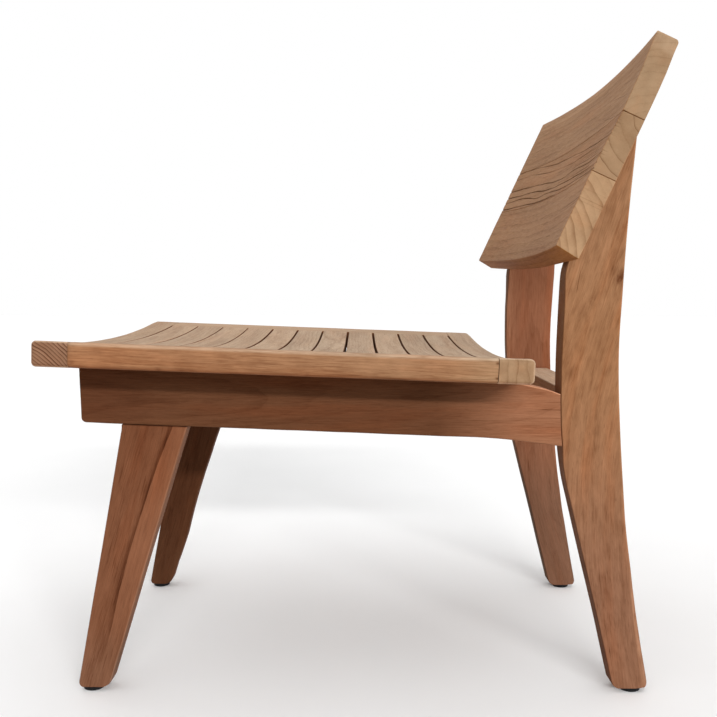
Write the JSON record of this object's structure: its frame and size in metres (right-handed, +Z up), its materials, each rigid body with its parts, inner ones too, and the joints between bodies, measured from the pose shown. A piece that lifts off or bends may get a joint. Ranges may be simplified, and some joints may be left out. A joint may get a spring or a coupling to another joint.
{
  "type": "slatted teak lounge chair",
  "caption": "Armless teak lounge chair with a dished slatted seat, a reclined hollow-curved backrest on bowed rear legs, tapered front legs and black foot glides.",
  "frame": {"origin": "on the floor, under the middle of the chair's bounding box", "axes": "+X to the sitter's left, -Y the way the sitter looks, +Z up"},
  "size_m": [0.6, 0.7131, 0.7697],
  "materials": {
    "teak_seat": "sanded, unvarnished teak, slightly greyed",
    "teak_back": "sanded, weathered teak with drying cracks",
    "teak_frame": "oiled teak, matt",
    "dowel_wood": "plain hardwood dowel",
    "screw_steel": "zinc-plated steel",
    "glide_black": "black, matt"
  },
  "bodies": {
    "root": {"apron_dowel_left_1": "dowel_wood", "apron_dowel_left_2": "dowel_wood", "apron_dowel_right_1": "dowel_wood", "apron_dowel_right_2": "dowel_wood", "back_screw_left_1": "screw_steel", "back_screw_left_2": "screw_steel", "back_screw_right_1": "screw_steel", "back_screw_right_2": "screw_steel", "backrest_lower_board": "teak_back", "backrest_middle_board": "teak_back", "backrest_upper_board": "teak_back", "foot_glide_front_left": "glide_black", "foot_glide_front_right": "glide_black", "foot_glide_rear_left": "glide_black", "foot_glide_rear_right": "glide_black", "front_leg_dowel_left_1": "dowel_wood", "front_leg_dowel_left_2": "dowel_wood", "front_leg_dowel_right_1": "dowel_wood", "front_leg_dowel_right_2": "dowel_wood", "front_leg_left": "teak_frame", "front_leg_right": "teak_frame", "front_rail": "teak_frame", "front_rail_dowel_left_1": "dowel_wood", "front_rail_dowel_left_2": "dowel_wood", "front_rail_dowel_right_1": "dowel_wood", "front_rail_dowel_right_2": "dowel_wood", "post_plug_left_1": "teak_frame", "post_plug_left_2": "teak_frame", "post_plug_right_1": "teak_frame", "post_plug_right_2": "teak_frame", "rear_leg_left": "teak_frame", "rear_leg_right": "teak_frame", "rear_rail": "teak_frame", "rear_rail_dowel_left_1": "dowel_wood", "rear_rail_dowel_left_2": "dowel_wood", "rear_rail_dowel_right_1": "dowel_wood", "rear_rail_dowel_right_2": "dowel_wood", "seat_front_board": "teak_seat", "seat_rear_board": "teak_seat", "seat_screw_left_1": "screw_steel", "seat_screw_left_2": "screw_steel", "seat_screw_right_1": "screw_steel", "seat_screw_right_2": "screw_steel", "seat_side_board_left": "teak_seat", "seat_side_board_right": "teak_seat", "seat_slat_01": "teak_seat", "seat_slat_02": "teak_seat", "seat_slat_03": "teak_seat", "seat_slat_04": "teak_seat", "seat_slat_05": "teak_seat", "seat_slat_06": "teak_seat", "seat_slat_07": "teak_seat", "seat_slat_08": "teak_seat", "seat_slat_09": "teak_seat", "seat_slat_10": "teak_seat", "seat_slat_11": "teak_seat", "side_apron_left": "teak_frame", "side_apron_right": "teak_frame"}
  },
  "joints": []
}
